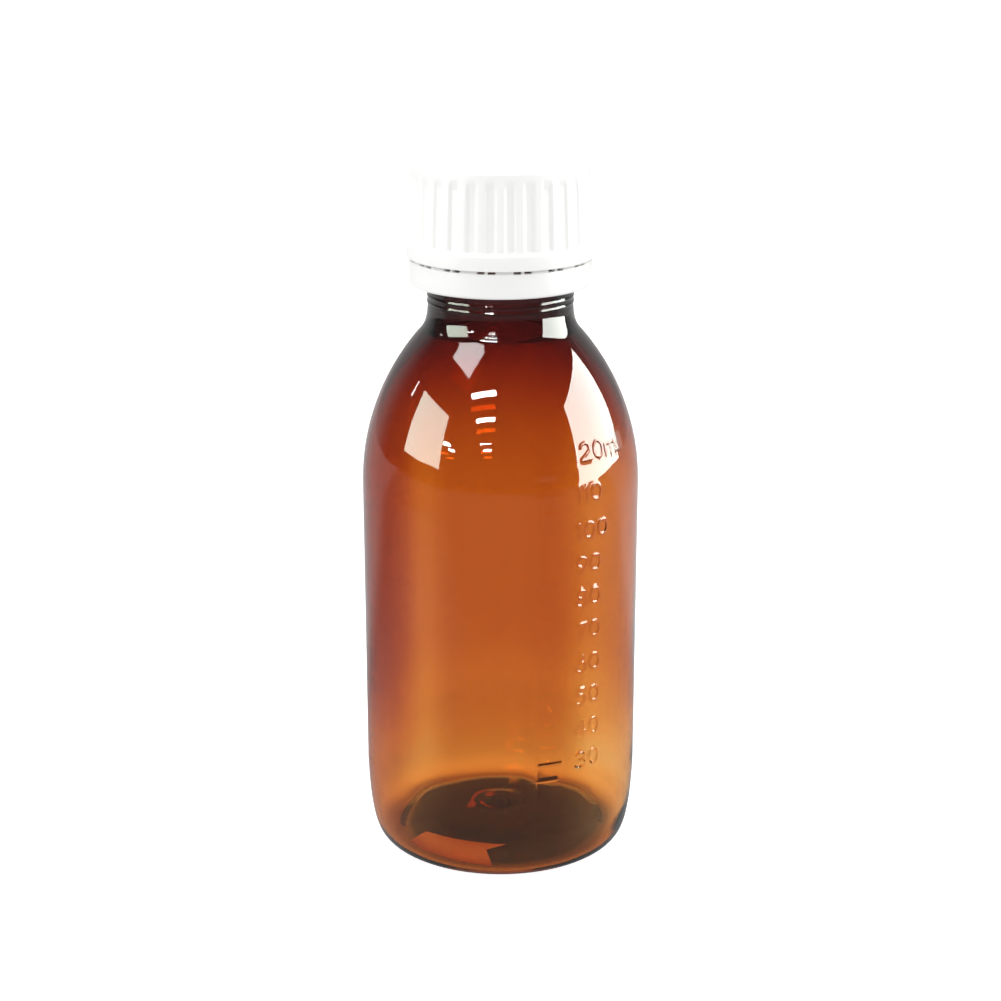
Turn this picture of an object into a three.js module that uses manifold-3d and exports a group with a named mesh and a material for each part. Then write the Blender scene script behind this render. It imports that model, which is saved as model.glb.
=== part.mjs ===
// A round amber plastic medicine bottle with a white one-piece screw cap,
// its sealing liner and the tamper-evident band that hangs under the cap.
// Millimetres, +Z up, origin at the centre of the base on the surface it stands on.

import * as THREE from "three";
import { mergeVertices } from "three/addons/utils/BufferGeometryUtils.js";
import Module from "manifold-3d";

// Bottle: outer body, heel and base.
const BODY_RADIUS = 23.75;
const BODY_WALL = 0.7;
const HEEL_WALL = 0.49;
const RING_WALL = 0.8;
const STANDING_RING_INNER = 18.6;
const STANDING_RING_OUTER = 20.2;
const HEEL_TOP = 14.0;
const HEEL_WALL_BLEND_TOP = 34.0;
const PUSH_UP_HEIGHT = 3.2;
const BASE_THICKNESS = 1.3;
const DOME_RADIUS = 4.4;
const DOME_HEIGHT = 0.7;
const DOME_SLOPE = 0.7;
const GATE_RADIUS = 1.3;
const GATE_DEPTH = 0.5;

// Control points, as (radius, height), of the curves that shape the heel and the push-up.
const PUSH_UP_CURVE = [12.5, 3.2, 16.0, 2.4];
const HEEL_CURVE = [22.2, 0, 23.4, 2.5];
const INNER_HEEL_CURVE = [22.9, 3.4, 21.9, 0.75];
const INNER_HEEL_END = 19.9;
const INNER_PUSH_UP_CURVE = [17.0, 1.1, 14.0, 4.5];

// Bottle: the shoulder is one circular arc that leaves the body wall tangentially. The inner arc
// is tighter, so the wall thickens towards the neck.
const SHOULDER_START = 65.0;
const SHOULDER_ARC = 40.1;
const SHOULDER_INNER_ARC = 36.5;
const SHOULDER_END_RADIUS = 13.6;
const SHOULDER_INNER_END_RADIUS = 11.6;
const NECK_BLEND_TOP = 96.4;
const BORE_BLEND_TOP = 97.5;

// Bottle: neck finish.
const NECK_RADIUS = 12.3;
const BORE_RADIUS = 10.0;
const LIP_TOP = 117.25;
const LIP_ROUND = 0.5;
const LOCK_BEAD_RADIUS = 13.7;
const LOCK_BEAD_BOTTOM = 101.9;
const LOCK_BEAD_SLOPE = 0.1;
const LOCK_BEAD_FLAT_TOP = 102.6;
const LOCK_BEAD_TOP = 103.8;

// Right-hand single-start thread shared by the neck and the cap.
const THREAD_PITCH = 3.6;
const NECK_THREAD_CREST = 13.65;
const NECK_THREAD_TURNS = 1.5;
const NECK_THREAD_START = 109.4;
const NECK_THREAD_BASE_WIDTH = 1.7;
const NECK_THREAD_CREST_WIDTH = 0.7;
const CAP_THREAD_CREST = 12.7;
const CAP_THREAD_TURNS = 1.6;
const CAP_THREAD_START = 107.5;
const CAP_THREAD_BASE_WIDTH = 1.5;
const CAP_THREAD_CREST_WIDTH = 0.6;
const THREAD_FADE = 0.06;
const THREAD_STEPS_PER_TURN = 24;
const ROOT_OVERLAP = 0.25;

// Cap.
const CAP_TOP = 120.3;
const CAP_ROOF = 1.5;
const CAP_BORE = 13.95;
const CAP_SKIRT_BOTTOM = 104.3;
const FLANGE_RADIUS = 15.77;
const FLANGE_CHAMFER = 0.25;
const FLANGE_TOP = 106.7;
const RIB_BOTTOM = 107.2;
const RIB_BOTTOM_RADIUS = 15.5;
const RIB_TOP_RADIUS = 14.95;
const CAP_CORNER = 0.76;
const RIB_COUNT = 30;
const VALLEY_WIDTH = 1.8;
const VALLEY_DEPTH = 0.4;
const VALLEY_TOP = 118.6;
const VALLEY_BOTTOM = 106.95;
const VALLEY_CUTTER_DEPTH = 2;
const VALLEY_CURVE_STEPS = 4;

// Liner disc inside the cap.
const LINER_RADIUS = 13.5;
const LINER_THICKNESS = 1.4;
const LINER_GAP = 0.05;

// Tamper-evident band.
const BAND_RADIUS = 15.33;
const BAND_BORE = 14.1;
const BAND_BOTTOM = 99.67;
const BAND_TOP = 103.8;
const BAND_LOWER_ROUND = 0.6;
const BRIDGE_COUNT = 16;
const BRIDGE_AZIMUTH_DEGREES = 13.7;
const BRIDGE_WIDTH = 0.5;
const BRIDGE_GAP = 0.05;
const BRIDGE_OUTER = 15.1;
const PAD_WIDTH_DEGREES = 11.0;
const PAD_GAP = 0.15;
const PAD_INNER = 14.4;
const PAD_OUTER = 15.0;
const LUG_COUNT = 12;
const LUG_CREST = 13.0;
const LUG_BOTTOM = 101.0;
const LUG_TOP = 101.7;
const LUG_ROOT_BOTTOM = 100.3;
const LUG_WIDTH_DEGREES = 16.0;

// Raised scale on the body: one tick every 5 ml from 20 ml up, at azimuths from the front.
const SCALE_TICKS = 18;
const SCALE_FIRST_TICK = 15.54;
const SCALE_TICK_STEP = 2.93;
const SCALE_TICK_FROM_DEGREES = 15.3;
const SCALE_TICK_TO_DEGREES = 25.3;
const SCALE_TICK_HEIGHT = 0.25;
const SCALE_TICK_WIDTH = 0.45;

// Fineness of the round surfaces.
const BOTTLE_SEGMENTS = 40;
const CAP_SEGMENTS = 60;
const BAND_SEGMENTS = 40;
const BLOCK_STEPS = 2;
const BOTTLE_CURVE_STEPS = 5;
const CAP_CURVE_STEPS = 2;
const MERGE_DISTANCE = 1e-4;

const FULL_TURN = 2 * Math.PI;
const FRONT_ANGLE = -Math.PI / 2;

const wasm = await Module();
wasm.setup();

// Turns a closed three.js geometry into a solid that can be joined and cut.
function solidFrom(geometry) {
  const bare = geometry.clone();
  bare.deleteAttribute("normal");
  bare.deleteAttribute("uv");
  const merged = mergeVertices(bare, MERGE_DISTANCE);
  const corners = merged.index.array;
  const triVerts = [];
  for (let i = 0; i < corners.length; i += 3) {
    const [a, b, c] = corners.slice(i, i + 3);
    if (a !== b && b !== c && c !== a) {
      triVerts.push(a, b, c);
    }
  }
  const mesh = new wasm.Mesh({
    numProp: 3,
    vertProperties: new Float32Array(merged.attributes.position.array),
    triVerts: new Uint32Array(triVerts),
  });
  return new wasm.Manifold(mesh);
}

// Turns a solid back into a geometry for a THREE.Mesh.
function geometryFrom(solid) {
  const mesh = solid.getMesh();
  const geometry = new THREE.BufferGeometry();
  geometry.setAttribute("position", new THREE.BufferAttribute(mesh.vertProperties, 3));
  geometry.setIndex(new THREE.BufferAttribute(mesh.triVerts, 1));
  geometry.computeVertexNormals();
  return geometry;
}

// Spins a (radius, height) path round the Z axis.
function revolved(path, segments, divisions) {
  const geometry = new THREE.LatheGeometry(path.getPoints(divisions), segments);
  geometry.rotateX(Math.PI / 2);
  return solidFrom(geometry);
}

// Bends a straight bar with a (radius, height) section round the Z axis.
// It climbs as it goes round, and near its ends it sinks towards footRadius.
function bentBar(section, { from, sweep, steps, climb = 0, fade = 0, footRadius = 0 }) {
  const geometry = new THREE.ExtrudeGeometry(section, { depth: 1, steps, bevelEnabled: false });
  const position = geometry.attributes.position;
  for (let i = 0; i < position.count; i += 1) {
    const along = 1 - position.getZ(i);
    const toEnd = Math.min(along, 1 - along);
    const height = fade > 0 ? Math.min(1, toEnd / fade) : 1;
    const radius = footRadius + (position.getX(i) - footRadius) * height;
    const angle = from + sweep * along;
    const z = position.getY(i) + climb * along;
    position.setXYZ(i, radius * Math.cos(angle), radius * Math.sin(angle), z);
  }
  return solidFrom(geometry);
}

// A four-sided (radius, height) section: its foot stands on a wall, its crest points away.
function ridgeSection(foot, crest, footWidth, crestWidth, z) {
  const outline = [
    new THREE.Vector2(foot, z - footWidth / 2),
    new THREE.Vector2(crest, z - crestWidth / 2),
    new THREE.Vector2(crest, z + crestWidth / 2),
    new THREE.Vector2(foot, z + footWidth / 2),
  ];
  return new THREE.Shape(outline);
}

// One helical thread ridge of the shared pitch.
function threadRidge(section, turns, footRadius) {
  return bentBar(section, {
    from: 0,
    sweep: turns * FULL_TURN,
    steps: Math.round(turns * THREAD_STEPS_PER_TURN),
    climb: turns * THREAD_PITCH,
    fade: THREAD_FADE,
    footRadius,
  });
}

// Turns a solid round the Z axis by an angle in radians.
function turned(solid, angle) {
  return solid.rotate([0, 0, THREE.MathUtils.radToDeg(angle)]);
}

// A shoulder arc that starts vertically on one radius and ends on another: the angle it sweeps, the
// height it ends at, and the height where its tangent there reaches the neck's wall.
function shoulderArc(arcRadius, startRadius, endRadius, neckRadius) {
  const sweep = Math.acos((arcRadius - startRadius + endRadius) / arcRadius);
  const endZ = SHOULDER_START + arcRadius * Math.sin(sweep);
  const blendZ = endZ + (endRadius - neckRadius) / Math.tan(sweep);
  return { sweep, endZ, blendZ };
}

// The whole wall of the bottle as one path: base, outside, lip, bore and inside.
function bottleProfile() {
  const path = new THREE.Path();
  addBaseUnderside(path);
  addBottleOutside(path);
  addNeckFinish(path);
  addBottleInside(path);
  return path;
}

// From the gate in the middle of the base, over the central dome and down to the standing ring.
function addBaseUnderside(path) {
  const top = PUSH_UP_HEIGHT + DOME_HEIGHT;
  path.moveTo(0, top - GATE_DEPTH);
  path.lineTo(GATE_RADIUS, top - GATE_DEPTH);
  path.lineTo(GATE_RADIUS + GATE_DEPTH, top);
  path.lineTo(DOME_RADIUS - DOME_SLOPE, top);
  path.lineTo(DOME_RADIUS, PUSH_UP_HEIGHT);
  path.bezierCurveTo(...PUSH_UP_CURVE, STANDING_RING_INNER, 0);
}

// From the standing ring up the heel, the body wall and the shoulder to the neck.
function addBottleOutside(path) {
  const { sweep, blendZ } = shoulderArc(SHOULDER_ARC, BODY_RADIUS, SHOULDER_END_RADIUS, NECK_RADIUS);
  path.lineTo(STANDING_RING_OUTER, 0);
  path.bezierCurveTo(...HEEL_CURVE, BODY_RADIUS, HEEL_TOP);
  path.lineTo(BODY_RADIUS, SHOULDER_START);
  path.absarc(BODY_RADIUS - SHOULDER_ARC, SHOULDER_START, SHOULDER_ARC, 0, sweep, false);
  path.quadraticCurveTo(NECK_RADIUS, blendZ, NECK_RADIUS, NECK_BLEND_TOP);
}

// The locking bead, the plain neck above it and the rounded lip.
function addNeckFinish(path) {
  path.lineTo(NECK_RADIUS, LOCK_BEAD_BOTTOM);
  path.lineTo(LOCK_BEAD_RADIUS, LOCK_BEAD_BOTTOM + LOCK_BEAD_SLOPE);
  path.lineTo(LOCK_BEAD_RADIUS, LOCK_BEAD_FLAT_TOP);
  path.lineTo(NECK_RADIUS, LOCK_BEAD_TOP);
  path.lineTo(NECK_RADIUS, LIP_TOP - LIP_ROUND);
  path.lineTo(NECK_RADIUS - LIP_ROUND, LIP_TOP);
  path.lineTo(BORE_RADIUS + LIP_ROUND, LIP_TOP);
  path.lineTo(BORE_RADIUS, LIP_TOP - LIP_ROUND);
}

// From the lip down the bore and the inside wall to the middle of the base.
function addBottleInside(path) {
  const inside = BODY_RADIUS - BODY_WALL;
  const floor = PUSH_UP_HEIGHT + BASE_THICKNESS;
  const { sweep, endZ, blendZ } = shoulderArc(
    SHOULDER_INNER_ARC, inside, SHOULDER_INNER_END_RADIUS, BORE_RADIUS);
  path.lineTo(BORE_RADIUS, BORE_BLEND_TOP);
  path.quadraticCurveTo(BORE_RADIUS, blendZ, SHOULDER_INNER_END_RADIUS, endZ);
  path.absarc(inside - SHOULDER_INNER_ARC, SHOULDER_START, SHOULDER_INNER_ARC, sweep, 0, true);
  path.lineTo(inside, HEEL_WALL_BLEND_TOP);
  path.lineTo(BODY_RADIUS - HEEL_WALL, HEEL_TOP);
  path.bezierCurveTo(...INNER_HEEL_CURVE, INNER_HEEL_END, RING_WALL);
  path.bezierCurveTo(...INNER_PUSH_UP_CURVE, DOME_RADIUS, floor);
  path.lineTo(DOME_RADIUS - DOME_SLOPE, floor + DOME_HEIGHT);
  path.lineTo(0, floor + DOME_HEIGHT);
}

// Raised ticks of the dosing scale, to the right of the bottle's front.
function scaleTicks() {
  const foot = BODY_RADIUS - BODY_WALL / 2;
  const crest = BODY_RADIUS + SCALE_TICK_HEIGHT;
  const from = FRONT_ANGLE + THREE.MathUtils.degToRad(SCALE_TICK_FROM_DEGREES);
  const sweep = THREE.MathUtils.degToRad(SCALE_TICK_TO_DEGREES - SCALE_TICK_FROM_DEGREES);
  const ticks = [];
  for (let i = 0; i < SCALE_TICKS; i += 1) {
    const z = SCALE_FIRST_TICK + i * SCALE_TICK_STEP;
    const section = ridgeSection(foot, crest, SCALE_TICK_WIDTH, SCALE_TICK_WIDTH, z);
    ticks.push(bentBar(section, { from, sweep, steps: BLOCK_STEPS }));
  }
  return ticks;
}

function bottleSolid() {
  const foot = NECK_RADIUS - ROOT_OVERLAP;
  const section = ridgeSection(
    foot, NECK_THREAD_CREST, NECK_THREAD_BASE_WIDTH, NECK_THREAD_CREST_WIDTH, NECK_THREAD_START);
  let solid = revolved(bottleProfile(), BOTTLE_SEGMENTS, BOTTLE_CURVE_STEPS);
  solid = solid.add(threadRidge(section, NECK_THREAD_TURNS, foot));
  for (const tick of scaleTicks()) {
    solid = solid.add(tick);
  }
  return solid;
}

// The cap's plain wall: inside, skirt edge, flange, tapered side and top.
function capProfile() {
  const path = new THREE.Path();
  path.moveTo(0, CAP_TOP - CAP_ROOF);
  path.lineTo(CAP_BORE, CAP_TOP - CAP_ROOF);
  path.lineTo(CAP_BORE, CAP_SKIRT_BOTTOM);
  path.lineTo(FLANGE_RADIUS - FLANGE_CHAMFER, CAP_SKIRT_BOTTOM);
  path.lineTo(FLANGE_RADIUS, CAP_SKIRT_BOTTOM + FLANGE_CHAMFER);
  path.lineTo(FLANGE_RADIUS, FLANGE_TOP);
  path.lineTo(RIB_BOTTOM_RADIUS, RIB_BOTTOM);
  path.lineTo(RIB_TOP_RADIUS, CAP_TOP - CAP_CORNER);
  path.absarc(RIB_TOP_RADIUS - CAP_CORNER, CAP_TOP - CAP_CORNER, CAP_CORNER, 0, Math.PI / 2, false);
  path.lineTo(0, CAP_TOP);
  return path;
}

// The round-topped slot that is cut from the cap's side between two ribs.
function valleyCutter() {
  const half = VALLEY_WIDTH / 2;
  const slot = new THREE.Shape();
  slot.moveTo(-half, VALLEY_BOTTOM);
  slot.lineTo(half, VALLEY_BOTTOM);
  slot.lineTo(half, VALLEY_TOP - half);
  slot.absarc(0, VALLEY_TOP - half, half, 0, Math.PI, false);
  const geometry = new THREE.ExtrudeGeometry(slot, {
    depth: VALLEY_CUTTER_DEPTH,
    bevelEnabled: false,
    curveSegments: VALLEY_CURVE_STEPS,
  });
  geometry.translate(0, -RIB_BOTTOM, 0);
  geometry.rotateX(Math.PI / 2);
  const lean = Math.atan2(RIB_BOTTOM_RADIUS - RIB_TOP_RADIUS, CAP_TOP - CAP_CORNER - RIB_BOTTOM);
  geometry.rotateX(-lean);
  geometry.translate(0, VALLEY_DEPTH - RIB_BOTTOM_RADIUS, RIB_BOTTOM);
  return solidFrom(geometry);
}

function capSolid() {
  const foot = CAP_BORE + ROOT_OVERLAP;
  const section = ridgeSection(
    foot, CAP_THREAD_CREST, CAP_THREAD_BASE_WIDTH, CAP_THREAD_CREST_WIDTH, CAP_THREAD_START);
  let solid = revolved(capProfile(), CAP_SEGMENTS, CAP_CURVE_STEPS);
  const cutter = valleyCutter();
  for (let i = 0; i < RIB_COUNT; i += 1) {
    solid = solid.subtract(turned(cutter, (i + 0.5) * FULL_TURN / RIB_COUNT));
  }
  return solid.add(threadRidge(section, CAP_THREAD_TURNS, foot));
}

function linerSolid() {
  const path = new THREE.Path();
  const bottom = LIP_TOP + LINER_GAP;
  const top = bottom + LINER_THICKNESS;
  path.moveTo(0, bottom);
  path.lineTo(LINER_RADIUS, bottom);
  path.lineTo(LINER_RADIUS, top);
  path.lineTo(0, top);
  return revolved(path, BAND_SEGMENTS, 1);
}

// The band's plain ring.
function bandRing() {
  const path = new THREE.Path();
  path.moveTo(BAND_BORE, BAND_BOTTOM);
  path.lineTo(BAND_RADIUS - BAND_LOWER_ROUND, BAND_BOTTOM);
  path.lineTo(BAND_RADIUS, BAND_BOTTOM + BAND_LOWER_ROUND);
  path.lineTo(BAND_RADIUS, BAND_TOP - FLANGE_CHAMFER);
  path.lineTo(BAND_RADIUS - FLANGE_CHAMFER, BAND_TOP);
  path.lineTo(BAND_BORE, BAND_TOP);
  path.lineTo(BAND_BORE, BAND_BOTTOM);
  return revolved(path, BAND_SEGMENTS, 1);
}

// A block that follows the band round, centred on angle 0.
function bandBlock(inner, outer, width, bottom, top) {
  const section = new THREE.Shape([
    new THREE.Vector2(inner, bottom),
    new THREE.Vector2(outer, bottom),
    new THREE.Vector2(outer, top),
    new THREE.Vector2(inner, top),
  ]);
  return bentBar(section, { from: -width / 2, sweep: width, steps: BLOCK_STEPS });
}

// The wedge inside the band that catches under the neck's locking bead.
function bandLug() {
  const width = THREE.MathUtils.degToRad(LUG_WIDTH_DEGREES);
  const section = new THREE.Shape([
    new THREE.Vector2(LUG_CREST, LUG_BOTTOM),
    new THREE.Vector2(BAND_BORE + ROOT_OVERLAP, LUG_ROOT_BOTTOM),
    new THREE.Vector2(BAND_BORE + ROOT_OVERLAP, LUG_TOP),
    new THREE.Vector2(LUG_CREST, LUG_TOP),
  ]);
  return bentBar(section, { from: -width / 2, sweep: width, steps: BLOCK_STEPS });
}

function bandSolid() {
  const sunk = BAND_TOP - ROOT_OVERLAP;
  const bridgeTop = CAP_SKIRT_BOTTOM - BRIDGE_GAP;
  const padWidth = THREE.MathUtils.degToRad(PAD_WIDTH_DEGREES);
  const pad = bandBlock(PAD_INNER, PAD_OUTER, padWidth, sunk, CAP_SKIRT_BOTTOM - PAD_GAP);
  const bridge = bandBlock(PAD_INNER, BRIDGE_OUTER, BRIDGE_WIDTH / BRIDGE_OUTER, sunk, bridgeTop);
  const lug = bandLug();
  let solid = bandRing();
  const pitch = FULL_TURN / BRIDGE_COUNT;
  const first = FRONT_ANGLE + THREE.MathUtils.degToRad(BRIDGE_AZIMUTH_DEGREES);
  for (let i = 0; i < BRIDGE_COUNT; i += 1) {
    solid = solid.add(turned(bridge, first + i * pitch));
    solid = solid.add(turned(pad, first + (i + 0.5) * pitch));
  }
  for (let i = 0; i < LUG_COUNT; i += 1) {
    solid = solid.add(turned(lug, i * FULL_TURN / LUG_COUNT));
  }
  return solid;
}

function amberPlastic() {
  return new THREE.MeshStandardMaterial({
    color: 0x9a4a14,
    roughness: 0.08,
    metalness: 0,
    transparent: true,
    opacity: 0.65,
  });
}

function whitePlastic() {
  return new THREE.MeshStandardMaterial({ color: 0xf6f6f2, roughness: 0.38, metalness: 0 });
}

function linerFoam() {
  return new THREE.MeshStandardMaterial({ color: 0xf0efe9, roughness: 0.8, metalness: 0 });
}

function namedMesh(name, solid, material) {
  const mesh = new THREE.Mesh(geometryFrom(solid), material);
  mesh.name = name;
  return mesh;
}

const group = new THREE.Group();
group.name = "medicine_bottle";
group.add(namedMesh("bottle", bottleSolid(), amberPlastic()));
group.add(namedMesh("liner", linerSolid(), linerFoam()));
group.add(namedMesh("screw_cap", capSolid(), whitePlastic()));
group.add(namedMesh("tamper_band", bandSolid(), whitePlastic()));

export default group;
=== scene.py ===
"""Looks of the amber medicine bottle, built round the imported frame.

The CAD holds the sizes and the motion. This script builds the fine surfaces of the four pieces (bottle,
liner, screw cap, tamper band) as closed meshes, gives them their plastics and lights them.
Sizes are in millimetres and become metres when a mesh is made. An azimuth is in degrees from the
bottle's front (-Y) towards its right (+X).
"""

import math

import bpy
import numpy as np
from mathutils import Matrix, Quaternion, Vector


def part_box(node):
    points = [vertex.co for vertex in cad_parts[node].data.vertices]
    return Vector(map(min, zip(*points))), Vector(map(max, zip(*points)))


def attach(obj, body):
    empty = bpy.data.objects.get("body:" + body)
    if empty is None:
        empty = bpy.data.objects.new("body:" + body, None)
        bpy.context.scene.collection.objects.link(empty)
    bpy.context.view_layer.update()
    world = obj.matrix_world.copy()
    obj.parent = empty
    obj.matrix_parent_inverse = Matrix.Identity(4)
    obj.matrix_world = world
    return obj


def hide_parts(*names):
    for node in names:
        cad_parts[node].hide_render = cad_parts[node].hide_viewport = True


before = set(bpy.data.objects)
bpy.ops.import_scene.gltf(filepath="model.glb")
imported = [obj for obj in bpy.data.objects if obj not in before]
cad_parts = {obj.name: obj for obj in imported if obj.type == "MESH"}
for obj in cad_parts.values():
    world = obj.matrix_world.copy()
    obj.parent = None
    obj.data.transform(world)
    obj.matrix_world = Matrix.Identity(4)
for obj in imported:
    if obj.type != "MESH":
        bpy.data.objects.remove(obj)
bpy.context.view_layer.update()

MM = 0.001


def node_mm(name):
    """Lowest and highest corner of a CAD node in millimetres."""
    low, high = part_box(name)
    return [v / MM for v in low], [v / MM for v in high]


BOTTLE_HIGH = node_mm("bottle")[1]
CAP_LOW, CAP_HIGH = node_mm("screw_cap")
BAND_LOW, BAND_HIGH = node_mm("tamper_band")
LINER_LOW, LINER_HIGH = node_mm("liner")

# Bottle.
BODY_RADIUS = BOTTLE_HIGH[1]
BODY_WALL = 0.7
HEEL_WALL = 0.49
HEEL_WALL_BLEND_TOP = 34.0
RING_WALL = 0.6
RING_WALL_RADIUS = 19.9
RIGHT_THINNING = 0.22
LEFT_THINNING = 0.12
LEFT_THICKENING = 0.12
THINNING_BOTTOM = (3.0, 8.0)
THINNING_TOP = (68.0, 84.0)
LIP_TOP = BOTTLE_HIGH[2]
LIP_ROUNDING = 0.45
LIP_DEPTH = 2.0
STANDING_RING_INNER = 19.0
STANDING_RING_OUTER = 20.2
PUSH_UP_FOOT = (18.2, 0.25)
HEEL_TOP = 14.0
PUSH_UP_HEIGHT = 3.2
BASE_THICKNESS = 1.3
DOME_RADIUS = 4.4
DOME_HEIGHT = 0.7
GATE_RADIUS = 1.3
GATE_DEPTH = 0.5
SHOULDER_START = 65.0
SHOULDER_ARC = 40.1
SHOULDER_END_RADIUS = 13.6
SHOULDER_INNER_ARC = 36.5
SHOULDER_INNER_END_RADIUS = 11.6
NECK_RADIUS = 12.3
NECK_BLEND_TOP = 96.4
NECK_RINGS_TOP = 98.6
THREAD_ROOM = (106.0, 116.2)
BORE_RADIUS = 10.0
BORE_BLEND_TOP = 97.5
LOCK_BEAD_RADIUS = 13.7
LOCK_BEAD_BOTTOM = 101.9
LOCK_BEAD_FLAT_TOP = 102.6
LOCK_BEAD_TOP = 103.8
NECK_RING_HEIGHTS = (96.7, 97.8)
NECK_RING_RISE = 0.12
NECK_RING_WIDTH = 0.4
NEAR_WALL = 0.05

# Thread shared by the neck and the cap.
THREAD_PITCH = 3.6
THREAD_FADE = 0.06
NECK_THREAD_CREST = 13.65
NECK_THREAD_TURNS = 1.5
NECK_THREAD_START = 109.4
NECK_THREAD_WIDTHS = (1.7, 0.7)
CAP_THREAD_CREST = 12.7
CAP_THREAD_TURNS = 1.6
CAP_THREAD_START = 107.5
CAP_THREAD_WIDTHS = (1.5, 0.6)

# Raised dosing scale.
LABEL_RISE = 0.13
LOW_LABEL_RISE = 0.1
LABEL_RISE_ML = (60, 115)
TICK_RISE = 0.04
LOW_TICK_RISE = 0.1
FIGURES_ML = range(30, 130, 10)
TICKS_ML = range(25, 125, 5)
LOW_TICKS_ML = 30
SCALE_STROKE = 0.42
STROKE_BEVEL = 0.17
FINE_ROW = 0.15
ROWS_BETWEEN_FIGURES = 9
DIGIT_HEIGHT = 2.65
DIGIT_WIDTH = 2.5
DIGIT_GAP = 0.5
LABEL_AZIMUTH = 31.3
LABEL_30_HEIGHT = 20.9
MM_PER_ML = 0.586
UPPER_LABEL_HEIGHTS = {110: 68.3, 120: 75.1}
LABEL_TOP = 77.6
SCALE_ROOM = (8.0, 80.0)
TICK_ABOVE_LABEL = 0.5
TICK_AZIMUTHS = (15.3, 25.3)
SHORT_TICK_END = 23.2
BASELINE_RISE = 0.07
BASELINE_ROOM = 1.0

# Azimuths of the bottle's columns, as (from, to, step) where they are even.
STEPS_AT_TICK_END = (-0.85, -0.45, -0.15, 0.15, 0.45, 0.85)
STEPS_BETWEEN = (18.0, 20.5, 27.0, 29.0)
FIGURE_STEPS = ((30.6, 48.5, 0.34), (48.5, 59.5, 0.45))
PLAIN_WALL = (59.5, 374.0)
PLAIN_WALL_STEPS = 64

# Cap.
CAP_TOP = CAP_HIGH[2]
CAP_BOTTOM = CAP_LOW[2]
FLANGE_RADIUS = CAP_HIGH[0]
CAP_ROOF = 1.5
CAP_BORE = 13.95
FLANGE_TOP = 106.7
RIB_BOTTOM = 107.25
RIB_BOTTOM_RADIUS = 15.5
RIB_TOP_RADIUS = 14.95
CAP_CORNER = 0.76
RIB_COUNT = 30
STEPS_PER_RIB = 18
VALLEY_SHARE = 0.56
VALLEY_DEPTH = 0.42
VALLEY_TOP = 118.7
VALLEY_BOTTOM = 107.0

# Band.
BAND_RADIUS = BAND_HIGH[0]
BAND_BOTTOM = BAND_LOW[2]
BAND_TOP = 103.8
BAND_BORE = 14.1
BAND_SEAM = 102.4
BAND_STEP_DEGREES = 1.5
BRIDGE_COUNT = 16
BRIDGE_AZIMUTH = 13.7
BRIDGE_HALF_DEGREES = 0.95
PAD_AZIMUTH = BRIDGE_AZIMUTH + 180.0 / BRIDGE_COUNT
PAD_HALF_DEGREES = 5.5
PAD_INNER = 14.4
PAD_OUTER = 15.24
PAD_GAP = 0.08
BRIDGE_GAP = 0.05
LUG_COUNT = 12
LUG_CREST = 13.0
LUG_HALF_DEGREES = 8.0
LUG_HEIGHTS = (100.3, 101.0, 101.7)


# ---------------------------------------------------------------- mesh helpers

def smoothstep(low, high, value):
    """0 below low, 1 above high and a smooth rise between them."""
    t = np.clip((value - low) / (high - low), 0.0, 1.0)
    return t * t * (3.0 - 2.0 * t)


def bezier(points, count):
    """count points along a Bezier curve of any degree, both ends included."""
    curve = []
    for t in np.linspace(0.0, 1.0, count):
        work = [np.array(p, float) for p in points]
        while len(work) > 1:
            work = [a + (b - a) * t for a, b in zip(work, work[1:])]
        curve.append(tuple(work[0]))
    return curve


def arc(centre, radius, start, end, count):
    """Points on a circular arc in the (radius, height) plane, angles in radians."""
    return [
        (centre[0] + radius * math.cos(a), centre[1] + radius * math.sin(a))
        for a in np.linspace(start, end, count)
    ]


def line(start, end, count):
    """Evenly spaced points on a straight line, both ends included."""
    return [tuple(p) for p in np.linspace(start, end, count)]


def rounded(corners, steps=4):
    """A polyline whose corners, given as (radius, height, size), are eased by curves of that size."""
    path = []
    for before, here, after in zip(corners, corners[1:], corners[2:]):
        p, q, s = (np.array(c[:2], float) for c in (before, here, after))
        size = here[2]
        if size <= 0:
            path.append(tuple(q))
            continue
        enter = q + (p - q) / np.linalg.norm(p - q) * size
        leave = q + (s - q) / np.linalg.norm(s - q) * size
        path += bezier([enter, q, leave], steps + 1)
    return [tuple(corners[0][:2])] + path + [tuple(corners[-1][:2])]


def without_repeats(path, closeness=1e-4):
    """The path with points that fall on the one before them left out."""
    kept = [path[0]]
    for point in path[1:]:
        if math.dist(point, kept[-1]) > closeness:
            kept.append(point)
    return kept


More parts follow.
